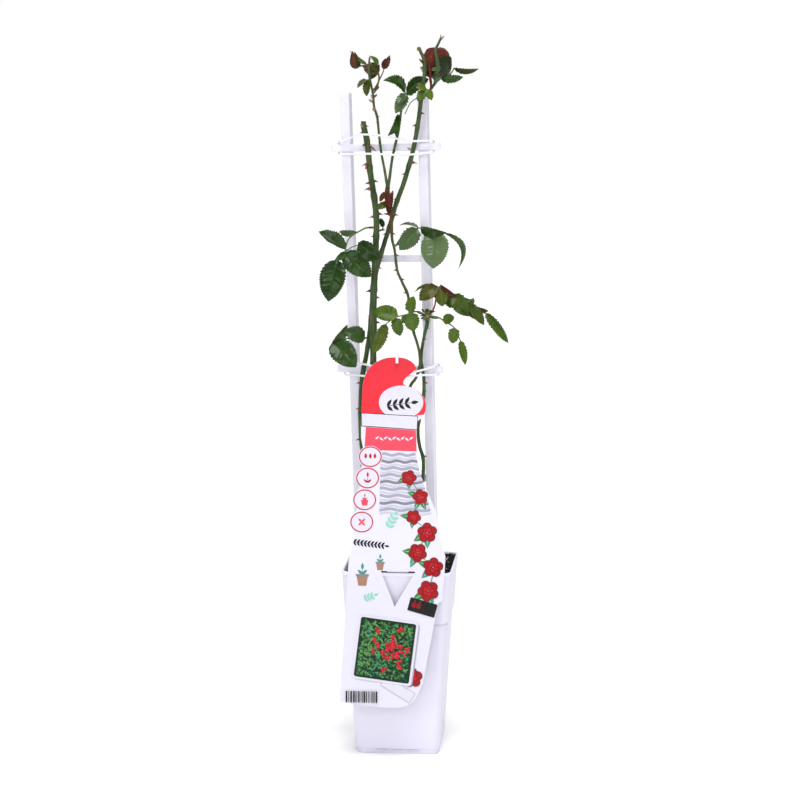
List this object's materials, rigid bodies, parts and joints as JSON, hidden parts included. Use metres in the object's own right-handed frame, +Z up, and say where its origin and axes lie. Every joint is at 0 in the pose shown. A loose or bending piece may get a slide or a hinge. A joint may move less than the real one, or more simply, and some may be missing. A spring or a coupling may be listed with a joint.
{
  "type": "climbing rose on a trellis",
  "caption": "Climbing rose with thorny canes, toothed compound leaves, buds and a wilted red bloom, tied to a white ladder trellis in a deep square white pot with a hanging label.",
  "frame": {"origin": "middle of the pot's flat underside", "axes": "+Z up along the plant, -Y towards the pot's front, which carries the label, +X to the right of that front"},
  "size_m": [0.2051, 0.1326, 0.7744],
  "materials": {
    "pot_white": "smooth white, a little glossy",
    "trellis_white": "smooth white strip",
    "tie_white": "smooth white elastic",
    "soil": "dark crumbly potting mix of bark and peat",
    "card": "printed stiff plastic card",
    "cane": "green bark with reddish prickles",
    "leaf_dark": "dark glossy leaf",
    "leaf_light": "fresh green leaf",
    "leaf_young": "young leaf flushed red",
    "leaf_olive": "olive bud scales",
    "leaf_red": "dark red shoot",
    "petal_red": "dry wilted petals"
  },
  "bodies": {
    "root": {"pot": "pot_white", "soil": "soil", "post_left": "trellis_white", "post_right": "trellis_white", "crossbar_hidden": "trellis_white", "crossbar_lower": "trellis_white", "crossbar_middle": "trellis_white", "crossbar_top": "trellis_white", "tie_top": "tie_white", "tie_lower": "tie_white", "tag": "card", "tag_hook": "tie_white", "cane_thick": "cane", "cane_bloom": "cane", "cane_fork": "cane", "cane_side": "cane", "leaf_left_upper": "leaf_dark", "leaf_left_lower": "leaf_dark", "leaf_centre": "leaf_light", "leaf_right_small": "leaf_light", "shoot_right": "leaf_young", "leaf_right_upper": "leaf_dark", "leaf_top_centre": "leaf_dark", "leaf_fork": "leaf_dark", "shoot_red": "leaf_red", "leaf_behind": "leaf_dark", "leaf_light_trio": "leaf_light", "leaf_below_buds": "leaf_olive", "shoot_top_red": "leaf_red", "bloom_petals": "petal_red", "bloom_stalk": "leaf_light", "bud_olive": "leaf_olive", "bud_red": "petal_red"}
  },
  "joints": []
}
